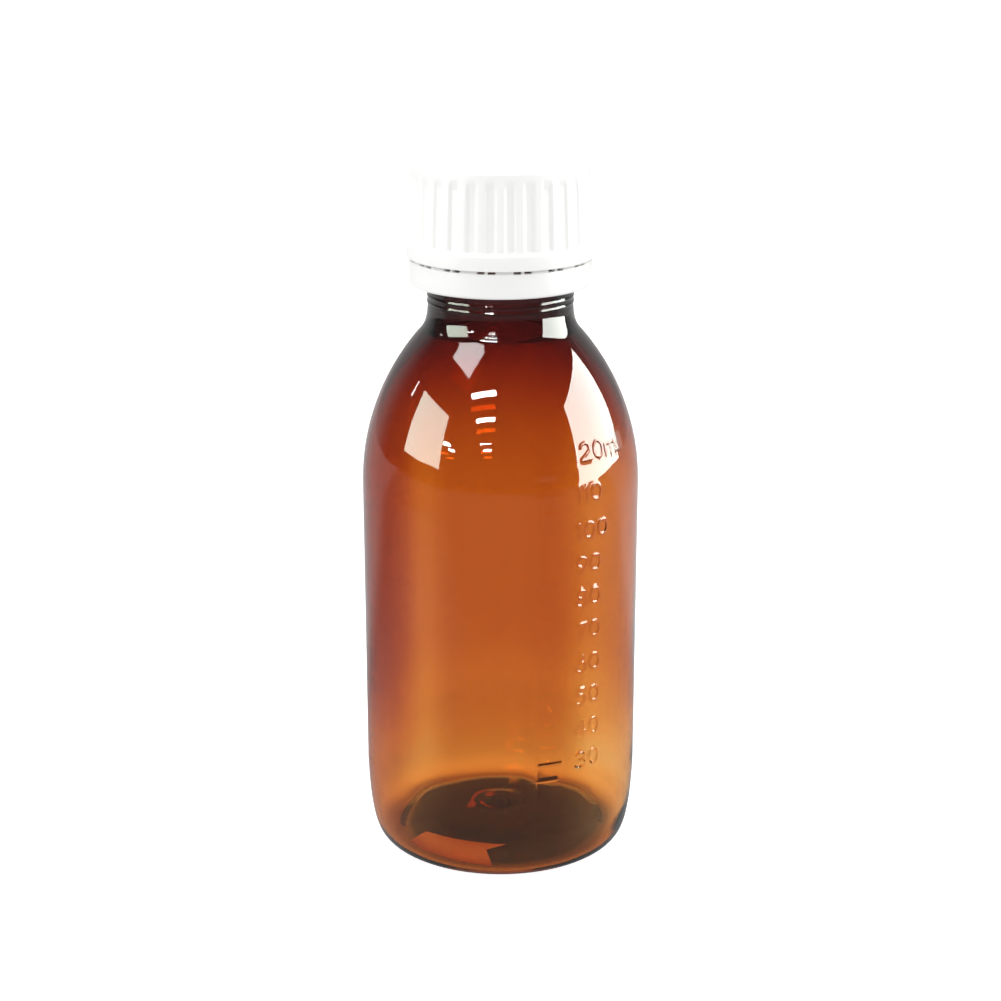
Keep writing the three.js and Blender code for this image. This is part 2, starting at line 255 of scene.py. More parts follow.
def spun_mesh(name, path, azimuths, displace=None, closed=False):
    """Spins a (radius, height) path round +Z into one closed mesh.

    The path goes up the outside and down the inside. It starts and ends on the axis, unless it is
    closed. displace(azimuth grid, radius grid, height grid) may return new radii and heights.
    """
    path = np.array(without_repeats(path))
    if closed:
        rows = path[:-1] if math.dist(path[0], path[-1]) < 1e-6 else path
    else:
        rows = path[1:-1]
    az = np.array(azimuths, float)
    radius = np.repeat(rows[:, 0][:, None], len(az), axis=1)
    height = np.repeat(rows[:, 1][:, None], len(az), axis=1)
    turn = np.repeat(az[None, :], len(rows), axis=0)
    if displace:
        radius, height = displace(turn, radius, height)
    angle = np.radians(turn)
    x = radius * np.sin(angle)
    y = -radius * np.cos(angle)
    vertices = np.stack([x, y, height], axis=-1).reshape(-1, 3)
    count, turns = len(rows), len(az)
    faces = []
    row_pairs = [(j, j + 1) for j in range(count - 1)]
    if closed:
        row_pairs.append((count - 1, 0))
    for a, b in row_pairs:
        for i in range(turns):
            k = (i + 1) % turns
            faces.append((a * turns + i, a * turns + k, b * turns + k, b * turns + i))
    if not closed:
        first, last = len(vertices), len(vertices) + 1
        poles = [[0.0, 0.0, path[0][1]], [0.0, 0.0, path[-1][1]]]
        vertices = np.vstack([vertices, poles])
        end = (count - 1) * turns
        for i in range(turns):
            k = (i + 1) % turns
            faces.append((first, k, i))
            faces.append((last, end + i, end + k))
    mesh = bpy.data.meshes.new(name)
    mesh.from_pydata((vertices * MM).tolist(), [], faces)
    mesh.polygons.foreach_set("use_smooth", [True] * len(mesh.polygons))
    mesh.update()
    piece = bpy.data.objects.new(name, mesh)
    bpy.context.scene.collection.objects.link(piece)
    return piece


def thread_rise(turn, height, start, turns, widths):
    """How far up its ridge a point of a threaded wall is, from 0 at the foot to 1 at the crest."""
    ccw = np.mod(turn - 90.0, 360.0) / 360.0
    best = np.zeros_like(height)
    for whole in range(math.ceil(turns) + 1):
        along = ccw + whole
        centre = start + along * THREAD_PITCH
        off = np.abs(height - centre)
        flank = 1.0 - smoothstep(widths[1] / 2, widths[0] / 2 + 0.1, off)
        to_end = np.minimum(along, turns - along) / turns
        best = np.maximum(best, flank * smoothstep(0.0, THREAD_FADE, to_end))
    return best


# ---------------------------------------------------------------- dosing scale

def ring_stroke(cx, cy, rx, ry, start=0, end=360, count=20):
    """An elliptical stroke in a glyph's cell, angles in degrees."""
    angles = np.radians(np.linspace(start, end, count))
    return [(cx + rx * math.cos(a), cy + ry * math.sin(a)) for a in angles]


def glyph_strokes():
    """Single-stroke figures 1 high, with the origin at the lower left, and the width of each."""
    return {
        "0": (1.0, [ring_stroke(0.5, 0.5, 0.42, 0.5)]),
        "1": (0.42, [[(0.05, 0.8), (0.27, 1.0), (0.27, 0.0)]]),
        "2": (1.0, [ring_stroke(0.5, 0.7, 0.4, 0.3, 165, -30) + [(0.06, 0.0), (0.95, 0.0)]]),
        "3": (1.0, [
            ring_stroke(0.5, 0.76, 0.38, 0.24, 150, -90),
            ring_stroke(0.5, 0.26, 0.42, 0.26, 90, -150),
        ]),
        "4": (1.0, [[(0.72, 0.0), (0.72, 1.0), (0.05, 0.28), (0.98, 0.28)]]),
        "5": (1.0, [
            [(0.85, 1.0), (0.22, 1.0), (0.14, 0.56)] + ring_stroke(0.46, 0.32, 0.42, 0.32, 125, -145),
        ]),
        "6": (1.0, [[(0.72, 1.0), (0.16, 0.48)], ring_stroke(0.5, 0.31, 0.4, 0.31)]),
        "7": (1.0, [[(0.08, 1.0), (0.92, 1.0), (0.38, 0.0)]]),
        "8": (1.0, [ring_stroke(0.5, 0.75, 0.32, 0.25), ring_stroke(0.5, 0.26, 0.4, 0.26)]),
        "9": (1.0, [ring_stroke(0.5, 0.69, 0.4, 0.31), [(0.86, 0.56), (0.34, 0.0)]]),
        "m": (1.25, [
            [(0.05, 0.0), (0.05, 0.66)],
            [(0.05, 0.48)] + ring_stroke(0.35, 0.44, 0.27, 0.22, 150, 0) + [(0.62, 0.0)],
            [(0.62, 0.44)] + ring_stroke(0.9, 0.44, 0.27, 0.22, 150, 0) + [(1.17, 0.0)],
        ]),
        "l": (0.3, [[(0.1, 0.0), (0.1, 1.0)]]),
    }


def arc_mm(azimuth):
    """Length along the body's wall from the front to an azimuth."""
    return math.radians(azimuth) * BODY_RADIUS


def label_height(ml):
    """Height of the middle of a figure on the scale."""
    return UPPER_LABEL_HEIGHTS.get(ml, LABEL_30_HEIGHT + (ml - 30) * MM_PER_ML)


def tick_height(ml):
    """Height of the tick of a multiple of 5 ml."""
    below, above = 10 * (ml // 10), 10 * math.ceil(ml / 10)
    return (label_height(below) + label_height(above)) / 2 + TICK_ABOVE_LABEL


def label_strokes(text, azimuth, height):
    """Strokes of a label that starts at an azimuth and is centred on a height."""
    glyphs = glyph_strokes()
    origin = arc_mm(azimuth)
    strokes = []
    for figure in text:
        width, lines = glyphs[figure]
        for stroke in lines:
            strokes.append([
                (origin + u * DIGIT_WIDTH, height + (v - 0.5) * DIGIT_HEIGHT) for u, v in stroke
            ])
        origin += width * DIGIT_WIDTH + DIGIT_GAP
    return strokes


def scale_strokes():
    """Every stroke of the scale: its rise and its polyline of (length round the wall, height)."""
    strokes = []
    for ml in FIGURES_ML:
        text = f"{ml}ml" if ml == 120 else str(ml)
        rise = LOW_LABEL_RISE + (LABEL_RISE - LOW_LABEL_RISE) * smoothstep(*LABEL_RISE_ML, ml)
        strokes += [(rise, stroke) for stroke in label_strokes(text, LABEL_AZIMUTH, label_height(ml))]
    for ml in TICKS_ML:
        height = tick_height(ml)
        end = TICK_AZIMUTHS[1] if ml % 10 == 0 else SHORT_TICK_END
        rise = LOW_TICK_RISE if ml <= LOW_TICKS_ML else TICK_RISE
        strokes.append((rise, [(arc_mm(TICK_AZIMUTHS[0]), height), (arc_mm(end), height)]))
    return strokes


def stroke_rise(around, height):
    """Rise of the scale above the wall at points given by their length round the wall and height."""
    rise = np.zeros_like(around)
    half = (SCALE_STROKE + STROKE_BEVEL) / 2
    for stroke_height, stroke in scale_strokes():
        for (ax, ay), (bx, by) in zip(stroke, stroke[1:]):
            near = (
                (around > min(ax, bx) - SCALE_STROKE) & (around < max(ax, bx) + SCALE_STROKE)
                & (height > min(ay, by) - SCALE_STROKE) & (height < max(ay, by) + SCALE_STROKE)
            )
            if not near.any():
                continue
            px, py = around[near] - ax, height[near] - ay
            dx, dy = bx - ax, by - ay
            t = np.clip((px * dx + py * dy) / max(dx * dx + dy * dy, 1e-9), 0.0, 1.0)
            distance = np.hypot(px - t * dx, py - t * dy)
            bump = stroke_height * (1.0 - smoothstep(half - STROKE_BEVEL, half, distance))
            rise[near] = np.maximum(rise[near], bump)
    return rise


# ---------------------------------------------------------------- bottle

def shoulder_arc_end(arc_radius, start_radius, end_radius):
    """Angle at which a shoulder arc that starts vertically reaches end_radius."""
    inset = start_radius - end_radius
    return math.asin(math.sqrt(2 * arc_radius * inset - inset * inset) / arc_radius)


def base_underside():
    """From the gate in the middle, over the central dome, down to the standing ring."""
    top = PUSH_UP_HEIGHT + DOME_HEIGHT
    middle = rounded([
        (0.0, top - GATE_DEPTH, 0),
        (GATE_RADIUS, top - GATE_DEPTH, 0.25),
        (GATE_RADIUS + 0.35, top, 0.2),
        (DOME_RADIUS - 0.9, top - 0.05, 0.5),
        (DOME_RADIUS, PUSH_UP_HEIGHT, 0.5),
        (DOME_RADIUS + 1.0, PUSH_UP_HEIGHT, 0),
    ])
    rim = bezier([(DOME_RADIUS + 1.0, PUSH_UP_HEIGHT), (12.5, PUSH_UP_HEIGHT), (16, 2.4), PUSH_UP_FOOT], 18)
    return middle + rim + bezier([PUSH_UP_FOOT, (18.5, 0.02), (STANDING_RING_INNER, 0.0)], 5)


def wall_radius(height):
    """Radius of the body and of the shoulder's arc."""
    rise = max(0.0, height - SHOULDER_START)
    return BODY_RADIUS - SHOULDER_ARC + math.sqrt(SHOULDER_ARC ** 2 - rise ** 2)


def wall_heights():
    """Heights of the wall's rows: close together across the scale's figures and ticks."""
    grid = np.arange(HEEL_TOP, LABEL_TOP, FINE_ROW)
    wanted = np.arange(len(grid)) % ROWS_BETWEEN_FIGURES == 0
    for ml in FIGURES_ML:
        wanted |= np.abs(grid - label_height(ml)) < DIGIT_HEIGHT / 2 + SCALE_STROKE
    for ml in TICKS_ML:
        wanted |= np.abs(grid - tick_height(ml)) < SCALE_STROKE
    return list(grid[wanted]) + [LABEL_TOP]


def bottle_outside():
    """From the standing ring up the body, shoulder and neck to the lip."""
    sweep = shoulder_arc_end(SHOULDER_ARC, BODY_RADIUS, SHOULDER_END_RADIUS)
    end_z = SHOULDER_START + SHOULDER_ARC * math.sin(sweep)
    blend_z = end_z + (SHOULDER_END_RADIUS - NECK_RADIUS) / math.tan(sweep)
    label_sweep = math.asin((LABEL_TOP - SHOULDER_START) / SHOULDER_ARC)
    path = line((STANDING_RING_INNER, 0.0), (STANDING_RING_OUTER, 0.0), 4)
    path += bezier([(STANDING_RING_OUTER, 0.0), (22.2, 0.0), (23.4, 2.5), (BODY_RADIUS, HEEL_TOP)], 36)
    path += [(wall_radius(z), z) for z in wall_heights()]
    path += arc((BODY_RADIUS - SHOULDER_ARC, SHOULDER_START), SHOULDER_ARC, label_sweep, sweep, 20)
    path += bezier([(SHOULDER_END_RADIUS, end_z), (NECK_RADIUS, blend_z), (NECK_RADIUS, NECK_BLEND_TOP)], 20)
    path += line((NECK_RADIUS, NECK_BLEND_TOP), (NECK_RADIUS, NECK_RINGS_TOP), 18)
    path += rounded([
        (NECK_RADIUS, NECK_RINGS_TOP, 0),
        (NECK_RADIUS, LOCK_BEAD_BOTTOM, 0.3),
        (LOCK_BEAD_RADIUS, LOCK_BEAD_BOTTOM + 0.1, 0.25),
        (LOCK_BEAD_RADIUS, LOCK_BEAD_FLAT_TOP, 0.25),
        (NECK_RADIUS, LOCK_BEAD_TOP, 0.4),
        (NECK_RADIUS, THREAD_ROOM[0], 0),
    ])
    path += line((NECK_RADIUS, THREAD_ROOM[0]), (NECK_RADIUS, THREAD_ROOM[1]), 36)
    path += rounded([
        (NECK_RADIUS, THREAD_ROOM[1], 0),
        (NECK_RADIUS, LIP_TOP, LIP_ROUNDING),
        (BORE_RADIUS, LIP_TOP, LIP_ROUNDING),
        (BORE_RADIUS, LIP_TOP - LIP_DEPTH, 0),
    ])
    return path


def bottle_inside():
    """From the bore down the inside wall to the middle of the base."""
    inside = BODY_RADIUS - BODY_WALL
    sweep = shoulder_arc_end(SHOULDER_INNER_ARC, inside, SHOULDER_INNER_END_RADIUS)
    end_z = SHOULDER_START + SHOULDER_INNER_ARC * math.sin(sweep)
    blend_z = end_z + (SHOULDER_INNER_END_RADIUS - BORE_RADIUS) / math.tan(sweep)
    shoulder_end = (SHOULDER_INNER_END_RADIUS, end_z)
    path = line((BORE_RADIUS, LIP_TOP - LIP_DEPTH), (BORE_RADIUS, BORE_BLEND_TOP), 6)
    path += bezier([(BORE_RADIUS, BORE_BLEND_TOP), (BORE_RADIUS, blend_z), shoulder_end], 12)
    path += arc((inside - SHOULDER_INNER_ARC, SHOULDER_START), SHOULDER_INNER_ARC, sweep, 0.0, 26)
    heel = BODY_RADIUS - HEEL_WALL
    middle = (HEEL_WALL_BLEND_TOP + HEEL_TOP) / 2
    path += line((inside, SHOULDER_START), (inside, HEEL_WALL_BLEND_TOP), 12)
    path += bezier([(inside, HEEL_WALL_BLEND_TOP), (inside, middle), (heel, middle), (heel, HEEL_TOP)], 8)
    floor = PUSH_UP_HEIGHT + BASE_THICKNESS
    top = floor + DOME_HEIGHT
    ring = (RING_WALL_RADIUS, RING_WALL)
    dome_foot = (DOME_RADIUS + 1.2, floor)
    path += bezier([(heel, HEEL_TOP), (23.0, 2.9), (22.05, 0.45), ring], 18)
    path += bezier([ring, (17.0, 1.1), (14.0, floor), dome_foot], 16)
    path += bezier([dome_foot, (DOME_RADIUS - 0.6, floor), (3.2, top), (1.5, top)], 9)
    return path + [(0.0, top)]


def bottle_azimuths():
    """Close together across the figures and at the ends of the ticks, and wider elsewhere."""
    ends = [TICK_AZIMUTHS[0], SHORT_TICK_END, TICK_AZIMUTHS[1]]
    steps = [end + offset for end in ends for offset in STEPS_AT_TICK_END]
    figures = [np.arange(*span) for span in FIGURE_STEPS]
    coarse = np.linspace(*PLAIN_WALL, PLAIN_WALL_STEPS, endpoint=False)
    return np.sort(np.concatenate([steps, STEPS_BETWEEN, *figures, coarse]))


def neck_relief(turn, radius, height):
    """Radii of the outer neck with its thread and its two fine rings."""
    outer_neck = (height > THREAD_ROOM[0] - 0.5) & (radius > NECK_RADIUS - NEAR_WALL)
    rise = thread_rise(turn, height, NECK_THREAD_START, NECK_THREAD_TURNS, NECK_THREAD_WIDTHS)
    radius = np.where(outer_neck, radius + rise * (NECK_THREAD_CREST - NECK_RADIUS), radius)
    for ring in NECK_RING_HEIGHTS:
        near = 1.0 - smoothstep(NECK_RING_WIDTH * 0.2, NECK_RING_WIDTH * 0.55, np.abs(height - ring))
        radius = np.where(radius > NECK_RADIUS - NEAR_WALL, radius + near * NECK_RING_RISE, radius)
    return radius


def scale_rise(turn, height):
    """Rise of the whole scale above the wall: figures, ticks and the line at the ticks' left ends."""
    around = np.radians(turn) * BODY_RADIUS
    rise = stroke_rise(around, height)
    foot, top = label_height(20) - 2.5, label_height(110)
    baseline = BASELINE_RISE * (1.0 - smoothstep(0.1, 0.3, np.abs(around - arc_mm(TICK_AZIMUTHS[0]))))
    baseline = baseline * smoothstep(foot - BASELINE_ROOM, foot, height)
    baseline = baseline * (1.0 - smoothstep(top, top + BASELINE_ROOM, height))
    return np.maximum(rise, baseline)


def bottle_relief(turn, radius, height):
    """Adds the thread, the two fine rings and the dosing scale, and thins the inner wall."""
    radius = neck_relief(turn, radius, height)
    outside = outer_rows(height)
    wall = outside & (height > SCALE_ROOM[0]) & (height < SCALE_ROOM[1])
    radius = np.where(wall, radius + scale_rise(turn, height), radius)
    return np.where(outside, radius, radius + wall_thinning(turn, height)), height


def wall_thinning(turn, height):
    """How much thinner the blown wall is than at the front: it is uneven from side to side."""
    across = np.sin(np.radians(turn))
    right = RIGHT_THINNING * smoothstep(0.35, 0.7, across)
    left = LEFT_THINNING * smoothstep(0.35, 0.55, -across) * (1.0 - smoothstep(0.6, 0.8, -across))
    above_heel = smoothstep(HEEL_TOP, HEEL_WALL_BLEND_TOP, height)
    far_left = LEFT_THICKENING * smoothstep(0.65, 0.85, -across) * above_heel
    along = smoothstep(*THINNING_BOTTOM, height) * (1.0 - smoothstep(*THINNING_TOP, height))
    return (right + left - far_left) * along


def outer_rows(height):
    """True for grid rows that are on the outside of the bottle: the rows before the lip."""
    lip_row = int(np.argmax(height[:, 0]))
    rows = np.arange(height.shape[0])[:, None] < lip_row
    return np.broadcast_to(rows, height.shape)


def make_bottle():
    """The bottle: its path goes out under the base, up the outside, and down the inside."""
    path = base_underside() + bottle_outside() + bottle_inside()
    return spun_mesh("amber_bottle", path, bottle_azimuths(), bottle_relief)


# ---------------------------------------------------------------- cap, liner and band

def cap_path():
    """From the middle of the roof's underside, down the bore and up the ribs to the middle of the top."""
    top = rounded([
        (0.0, CAP_TOP - 0.12, 0),
        (1.1, CAP_TOP - 0.12, 0.15),
        (1.4, CAP_TOP, 0.15),
        (10.0, CAP_TOP, 0),
    ])[::-1]
    corner = (RIB_TOP_RADIUS - CAP_CORNER, CAP_TOP - CAP_CORNER)
    side = line((RIB_BOTTOM_RADIUS, RIB_BOTTOM + 0.3), (RIB_TOP_RADIUS, corner[1]), 46)
    flange = rounded([
        (CAP_BORE, CAP_BOTTOM + 1.0, 0),
        (CAP_BORE, CAP_BOTTOM, 0.2),
        (FLANGE_RADIUS, CAP_BOTTOM, 0.22),
        (FLANGE_RADIUS, FLANGE_TOP, 0.35),
        (RIB_BOTTOM_RADIUS, RIB_BOTTOM, 0.2),
        (RIB_BOTTOM_RADIUS, RIB_BOTTOM + 0.3, 0),
    ], steps=6)
    roof = CAP_TOP - CAP_ROOF
    inside = rounded([
        (0.0, roof, 0),
        (8.0, roof, 0),
        (CAP_BORE, roof, 0.3),
        (CAP_BORE, roof - 1.5, 0),
    ])
    inside += line((CAP_BORE, roof - 1.5), (CAP_BORE, CAP_BOTTOM + 1.0), 50)
    up = flange + side + arc(corner, CAP_CORNER, 0.0, math.pi / 2, 12)
    return inside + up + line((corner[0], CAP_TOP), (10.0, CAP_TOP), 4) + top


def cap_relief(turn, radius, height):
    """Cuts the valleys between the ribs and raises the inner thread."""
    pitch = 360.0 / RIB_COUNT
    from_valley = np.abs(np.mod(turn, pitch) - pitch / 2)
    half = math.radians(pitch * VALLEY_SHARE / 2) * RIB_TOP_RADIUS
    sideways = np.radians(from_valley) * RIB_TOP_RADIUS
    depth = 1.0 - smoothstep(half - 0.4, half + 0.16, sideways)
    depth = depth * smoothstep(VALLEY_BOTTOM - 0.1, VALLEY_BOTTOM + 0.35, height)
    depth = depth * (1.0 - smoothstep(VALLEY_TOP - 1.8, VALLEY_TOP + 0.3, height))
    outside = radius > CAP_BORE + 0.4
    radius = np.where(outside & (height < CAP_TOP - 0.3), radius - depth * VALLEY_DEPTH, radius)
    rise = thread_rise(turn, height, CAP_THREAD_START, CAP_THREAD_TURNS, CAP_THREAD_WIDTHS)
    bore = np.abs(radius - CAP_BORE) < 0.05
    return np.where(bore, radius - rise * (CAP_BORE - CAP_THREAD_CREST), radius), height


def make_cap():
    """The white cap, whose columns divide each rib evenly."""
    azimuths = np.linspace(0.0, 360.0, RIB_COUNT * STEPS_PER_RIB, endpoint=False)
    return spun_mesh("ribbed_cap", cap_path(), azimuths, cap_relief)


def make_liner():
    """The foam disc that seals on the bottle's lip."""
    low, high, radius = LINER_LOW[2], LINER_HIGH[2], LINER_HIGH[0]
    path = rounded([
        (0.0, low, 0),
        (radius * 0.7, low, 0),
        (radius, low, 0.25),
        (radius, high, 0.25),
        (radius * 0.7, high, 0),
        (0.0, high, 0),
    ])
    return spun_mesh("foam_liner", path, np.linspace(0.0, 360.0, 120, endpoint=False))


def band_path():
    """Closed section of the band, with rows at the edges of the lugs, pads and bridges."""
    return rounded([
        (BAND_BORE, BAND_SEAM, 0),
        (BAND_BORE, LUG_HEIGHTS[2] + 0.1, 0),
        (BAND_BORE, LUG_HEIGHTS[2], 0),
        (BAND_BORE, LUG_HEIGHTS[1], 0),
        (BAND_BORE, LUG_HEIGHTS[0], 0),
        (BAND_BORE, BAND_BOTTOM, 0.2),
        (BAND_RADIUS, BAND_BOTTOM, 0.55),
        (BAND_RADIUS, BAND_TOP, 0.03),
        (PAD_OUTER + 0.04, BAND_TOP, 0),
        (PAD_OUTER, BAND_TOP, 0),
        (PAD_INNER, BAND_TOP, 0),
        (PAD_INNER - 0.04, BAND_TOP, 0),
        (BAND_BORE, BAND_TOP, 0.1),
        (BAND_BORE, BAND_SEAM, 0),
    ], steps=6)


def feature_azimuths(features, spacing):
    """Evenly spaced azimuths, with pairs added on both sides of each feature's edges."""
    grid = list(np.arange(0.0, 360.0, spacing))
    for count, half, first in features:
        for i in range(count):
            middle = first + i * 360.0 / count
            for side in (-1, 1):
                edge = middle + side * half
                grid += [(edge - 0.06) % 360.0, (edge + 0.06) % 360.0]
    grid = sorted(grid)
    kept = [grid[0]]
    for value in grid[1:]:
        if value - kept[-1] > 0.05:
            kept.append(value)
    return np.array(kept)


def inside_feature(turn, count, half, first):
    """1 within half degrees of each of count evenly spaced middles, 0 outside."""
    pitch = 360.0 / count
    off = np.abs(np.mod(turn - first + pitch / 2, pitch) - pitch / 2)
    return 1.0 - smoothstep(half - 0.05, half + 0.05, off)


def band_relief(turn, radius, height):
    """Raises the stop pads and the bridges on the top face and the lugs on the bore."""
    top = (np.abs(height - BAND_TOP) < 0.01) & (radius > PAD_INNER - 0.01) & (radius < PAD_OUTER + 0.01)
    pad = inside_feature(turn, BRIDGE_COUNT, PAD_HALF_DEGREES, PAD_AZIMUTH)
    pad = pad * (CAP_BOTTOM - PAD_GAP - BAND_TOP)
    bridge = inside_feature(turn, BRIDGE_COUNT, BRIDGE_HALF_DEGREES, BRIDGE_AZIMUTH)
    bridge = bridge * (CAP_BOTTOM - BRIDGE_GAP - BAND_TOP)
    height = np.where(top, height + np.maximum(pad, bridge), height)
    lug = inside_feature(turn, LUG_COUNT, LUG_HALF_DEGREES, 0.0) * (BAND_BORE - LUG_CREST)
    shape = smoothstep(LUG_HEIGHTS[0], LUG_HEIGHTS[1], height) * (height < LUG_HEIGHTS[2] + 0.05)
    bore = np.abs(radius - BAND_BORE) < 0.01
    return np.where(bore, radius - lug * shape, radius), height


def make_band():
    """The tamper band, with columns at the edges of its bridges, pads and lugs."""
    features = [
        (BRIDGE_COUNT, PAD_HALF_DEGREES, PAD_AZIMUTH),
        (BRIDGE_COUNT, BRIDGE_HALF_DEGREES, BRIDGE_AZIMUTH),
        (LUG_COUNT, LUG_HALF_DEGREES, 0.0),
    ]
    azimuths = feature_azimuths(features, BAND_STEP_DEGREES)
    return spun_mesh("break_band", band_path(), azimuths, band_relief, closed=True)


# ---------------------------------------------------------------- materials

AMBER_ABSORPTION = (0.827, 0.58, 0.1, 1.0)
AMBER_DENSITY = 5000.0
AMBER_IOR = 1.57
CAP_WHITE = (0.93, 0.93, 0.915, 1.0)
FOAM_WHITE = (0.86, 0.85, 0.81, 1.0)
FLOOR_WHITE = (0.94, 0.94, 0.94, 1.0)
PURE_WHITE = (1.0, 1.0, 1.0, 1.0)
SUN_TINT = (0.95, 0.44, 0.38, 1.0)


def new_material(name):
    """A material with its node tree and its shader."""
    material = bpy.data.materials.new(name)
    material.use_nodes = True
    tree = material.node_tree
    return material, tree, tree.nodes["Principled BSDF"]


def light_material(name):
    """A material that only gives light, with its node tree and its emission node."""
    material, tree, shader = new_material(name)
    tree.nodes.remove(shader)
    emission = tree.nodes.new("ShaderNodeEmission")
    tree.links.new(emission.outputs["Emission"], tree.nodes["Material Output"].inputs["Surface"])
    return material, tree, emission


def object_coordinates(tree, scale):
    """The piece's own coordinates, scaled."""
    coordinates = tree.nodes.new("ShaderNodeTexCoord")
    mapping = tree.nodes.new("ShaderNodeMapping")
    mapping.inputs["Scale"].default_value = scale
    tree.links.new(coordinates.outputs["Object"], mapping.inputs["Vector"])
    return mapping.outputs["Vector"]


def noise(tree, vector, scale, detail):
    """Soft noise from 0 to 1."""
    node = tree.nodes.new("ShaderNodeTexNoise")
    node.inputs["Scale"].default_value = scale
    node.inputs["Detail"].default_value = detail
    node.inputs["Roughness"].default_value = 0.5
    tree.links.new(vector, node.inputs["Vector"])
    return node.outputs["Fac"]


def ramp(tree, factor, low, high):
    """Maps the middle of a noise's range on to low to high."""
    node = tree.nodes.new("ShaderNodeMapRange")
    node.inputs["From Min"].default_value = 0.3
    node.inputs["From Max"].default_value = 0.7
    node.inputs["To Min"].default_value = low
    node.inputs["To Max"].default_value = high
    tree.links.new(factor, node.inputs["Value"])
    return node.outputs["Result"]


def bump(tree, shader, height, distance, strength):
    """Fine relief of the surface, as a fraction strength of a distance in metres."""
    node = tree.nodes.new("ShaderNodeBump")
    node.inputs["Distance"].default_value = distance
    node.inputs["Strength"].default_value = strength
    tree.links.new(height, node.inputs["Height"])
    tree.links.new(node.outputs["Normal"], shader.inputs["Normal"])


def amber_plastic():
    """Clear amber polyester: colour comes from absorption inside the wall."""
    material, tree, shader = new_material("amber_plastic")
    shader.inputs["Base Color"].default_value = PURE_WHITE
    shader.inputs["Transmission Weight"].default_value = 1.0
    shader.inputs["IOR"].default_value = AMBER_IOR
    shader.inputs["Roughness"].default_value = 0.0
    vector = object_coordinates(tree, (1.0, 1.0, 0.35))
    bump(tree, shader, noise(tree, vector, 55.0, 2.0), 0.00025, 0.5)
    absorption = tree.nodes.new("ShaderNodeVolumeAbsorption")
    absorption.inputs["Color"].default_value = AMBER_ABSORPTION
    absorption.inputs["Density"].default_value = AMBER_DENSITY
    output = tree.nodes["Material Output"]
    tree.links.new(absorption.outputs["Volume"], output.inputs["Volume"])
    return material


def white_plastic():
    """Satin white polypropylene with a faint moulding texture."""
    material, tree, shader = new_material("white_plastic")
    shader.inputs["Base Color"].default_value = CAP_WHITE
    shader.inputs["Subsurface Weight"].default_value = 0.15
    shader.inputs["Subsurface Radius"].default_value = (0.002, 0.002, 0.0018)
    shader.inputs["Subsurface Scale"].default_value = 0.5
    shader.inputs["IOR"].default_value = 1.49
    vector = object_coordinates(tree, (1.0, 1.0, 1.0))
    grain = noise(tree, vector, 2600.0, 3.0)
    tree.links.new(ramp(tree, noise(tree, vector, 260.0, 2.0), 0.3, 0.42), shader.inputs["Roughness"])
    bump(tree, shader, grain, 0.00003, 0.25)
    return material


def liner_foam():
    """Matte foamed polyethylene with fine cells."""
    material, tree, shader = new_material("liner_foam")
    shader.inputs["Base Color"].default_value = FOAM_WHITE
    shader.inputs["Roughness"].default_value = 0.75
    vector = object_coordinates(tree, (1.0, 1.0, 1.0))
    cells = tree.nodes.new("ShaderNodeTexVoronoi")
    cells.inputs["Scale"].default_value = 2200.0
    tree.links.new(vector, cells.inputs["Vector"])
    bump(tree, shader, cells.outputs["Distance"], 0.0001, 0.5)
    return material


def floor_white():
    """A pale floor with a painted shadow under the bottle and a painted glow that is brightest just outside
    the bottle's foot.
    """
    material, tree, shader = new_material("floor_white")
    away = distance_from(tree, *SHADOW_CENTRE)
    # Painted shadow: the floor's colour eases from grey under the bottle to white outside its foot.
    tint = tree.nodes.new("ShaderNodeMix")
    tint.data_type = "RGBA"
    tint.inputs["A"].default_value = (PAINTED_SHADOW_GREY, PAINTED_SHADOW_GREY, PAINTED_SHADOW_GREY, 1.0)
    tint.inputs["B"].default_value = FLOOR_WHITE
    tree.links.new(eased(tree, away, *FOOT_SHADOW, 1.0), tint.inputs["Factor"])
    tree.links.new(tint.outputs["Result"], shader.inputs["Base Color"])
    # Painted glow: the floor's own light rises just outside the foot, then falls back to the even floor glow
    # further out.
    near = eased(tree, away, *FOOT_SHADOW, PAINTED_FOOT_GLOW)
    far = eased(tree, away, *FOOT_GLOW_END, FLOOR_GLOW - PAINTED_FOOT_GLOW)
    tree.links.new(plus(tree, near, far), shader.inputs["Emission Strength"])
    shader.inputs["Roughness"].default_value = 0.8
    shader.inputs["Specular IOR Level"].default_value = 0.0
    shader.inputs["Emission Color"].default_value = PURE_WHITE
    return material


def sunlight(level):
    """The warm light that the windows throw through the bottle on to the table under its base."""
    material, _, emission = light_material("sunlight")
    emission.inputs["Color"].default_value = SUN_TINT
    emission.inputs["Strength"].default_value = level
    return material


# ---------------------------------------------------------------- studio

# Places and lengths in metres, camera pitch in radians, lens in mm on a 36 mm sensor.
CAMERA_PLACE = (0.0, -0.3476, 0.1702)
CAMERA_PITCH = 0.304
CAMERA_LENS = 75.6
CAMERA_SENSOR = 36.0
LAMP_DISTANCE = 1.2
LAMP_TARGET = (0.0, 0.0, 0.08)
FLOOR_RADIUS = 6.0
FLOOR_GAP = 0.00005
TABLE_RADIUS = 0.9
TABLE_SHIFT = -0.12
BACKDROP_LEVEL = 1.9
FILL_LEVEL = 0.9

# The floor: its own even glow, a painted shadow under the bottle, a painted glow round the bottle's foot,
# and the distances over which each eases.
FLOOR_GLOW = 0.22
PAINTED_SHADOW_GREY = 0.3
PAINTED_FOOT_GLOW = 0.8
SHADOW_CENTRE = (0.0007, 0.0)
FOOT_SHADOW = (0.0165, 0.0205)
FOOT_GLOW_END = (0.023, 0.037)

# Patches of sunlight that fall through the bottle on to the table: level, and corners in mm.
SUN_PATCHES = (
    (0.95, ((-16, -9), (-13, -4), (1, -7), (-2.5, -11), (-1.5, -18.5), (-7.5, -16.5), (-13.5, -12.5))),
    (1.6, ((-6, 5), (-4, 10), (-0.5, 9), (-1.5, 5))),
)

